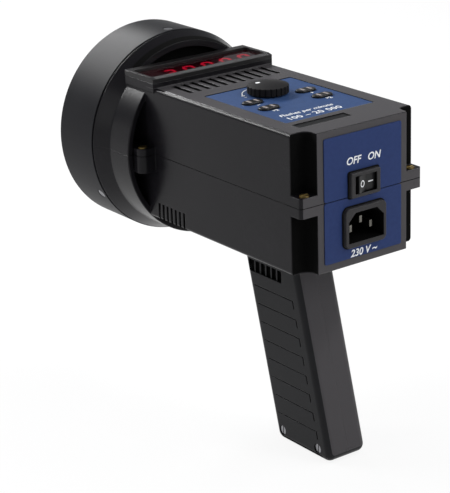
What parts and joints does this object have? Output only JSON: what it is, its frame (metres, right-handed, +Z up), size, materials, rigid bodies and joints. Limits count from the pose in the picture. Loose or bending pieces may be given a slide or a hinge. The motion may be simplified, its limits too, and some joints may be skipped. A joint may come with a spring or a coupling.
{
  "type": "xenon stroboscope",
  "caption": "Hand-held gun-shaped xenon stroboscope with a round lamp head, red digital display, control knob, push-buttons, rear rocker switch, mains inlet and a ribbed grip.",
  "frame": {"origin": "centre of the lamp's mouth, on the lamp axis in the plane of the hood's front rim", "axes": "the lamp faces -Y, +Y runs back along the lamp axis to the rear panel, +Z is up through the display, away from the grip"},
  "size_m": [0.12, 0.2056, 0.2175],
  "materials": {
    "black_abs": "semi-gloss fine texture",
    "black_hood": "satin",
    "black_gloss": "semi-gloss",
    "knob_black": "matte",
    "white_mark": "matte",
    "blue_label": "satin film",
    "dark_label": "satin film",
    "red_filter": "clear tinted acrylic",
    "clear_lens": "clear acrylic",
    "tube_glass": "quartz",
    "rubber": "matte",
    "reflector_metal": "polished",
    "ceramic": "glazed",
    "nickel": "polished",
    "brass": "bright",
    "steel": "plated",
    "board_green": "solder mask",
    "digit_black": "gloss",
    "core_steel": "varnished laminations",
    "coil_tape": "tape",
    "cap_sleeve": "shrink sleeve",
    "aluminium": "satin"
  },
  "bodies": {
    "casing": {"upper_casing": "black_abs", "lower_casing": "black_abs", "hood": "black_hood", "lens_seal": "rubber", "front_lens": "clear_lens", "lens_ring": "black_hood", "reflector": "reflector_metal", "flash_tube": "tube_glass", "trigger_clip": "nickel", "lamp_base": "ceramic", "lamp_pins": "nickel", "display_bezel": "black_abs", "display_window": "red_filter", "digit_modules": "digit_black", "display_board": "board_green", "panel_overlay": "blue_label", "name_plate": "dark_label", "control_board": "board_green", "tact_switches": "black_gloss", "potentiometer": "steel", "rear_label_upper": "blue_label", "rear_label_lower": "blue_label", "switch_housing": "black_gloss", "switch_terminals": "brass", "mains_inlet": "black_gloss", "inlet_pins": "nickel", "grip_left": "black_abs", "grip_right": "black_abs", "grip_screws": "steel", "grip_bolts": "steel", "main_board": "board_green", "transformer_core": "core_steel", "transformer_coil": "coil_tape", "discharge_capacitors": "cap_sleeve", "trigger_transformer": "black_gloss", "heat_sink": "aluminium", "fuse": "tube_glass", "fuse_clips": "brass", "case_screws": "brass", "hood_screws": "steel"},
    "knob": {"knob": "knob_black", "knob_pointer": "white_mark", "knob_shaft": "aluminium"},
    "rocker": {"switch_rocker": "black_gloss"},
    "button_down": {"button_down": "black_gloss"},
    "button_up": {"button_up": "black_gloss"},
    "button_halve": {"button_halve": "black_gloss"},
    "button_double": {"button_double": "black_gloss"}
  },
  "joints": [
    {"name": "knob_turn", "type": "hinge", "parent": "casing", "child": "knob", "pos_m": [0, 0.123, 0.045], "axis": [0, 0, 1], "range_deg": [-192, 108]},
    {"name": "rocker_tilt", "type": "hinge", "parent": "casing", "child": "rocker", "pos_m": [0, 0.1995, 0.0078], "axis": [0, 0, 1], "range_deg": [-22, 0]},
    {"name": "button_down_press", "type": "slide", "parent": "casing", "child": "button_down", "axis": [0, 0, -1], "range_m": [0, 0.0008], "stiffness_N_per_m": 1500, "springref_m": -0.0004},
    {"name": "button_up_press", "type": "slide", "parent": "casing", "child": "button_up", "axis": [0, 0, -1], "range_m": [0, 0.0008], "stiffness_N_per_m": 1500, "springref_m": -0.0004},
    {"name": "button_halve_press", "type": "slide", "parent": "casing", "child": "button_halve", "axis": [0, 0, -1], "range_m": [0, 0.0008], "stiffness_N_per_m": 1500, "springref_m": -0.0004},
    {"name": "button_double_press", "type": "slide", "parent": "casing", "child": "button_double", "axis": [0, 0, -1], "range_m": [0, 0.0008], "stiffness_N_per_m": 1500, "springref_m": -0.0004}
  ]
}
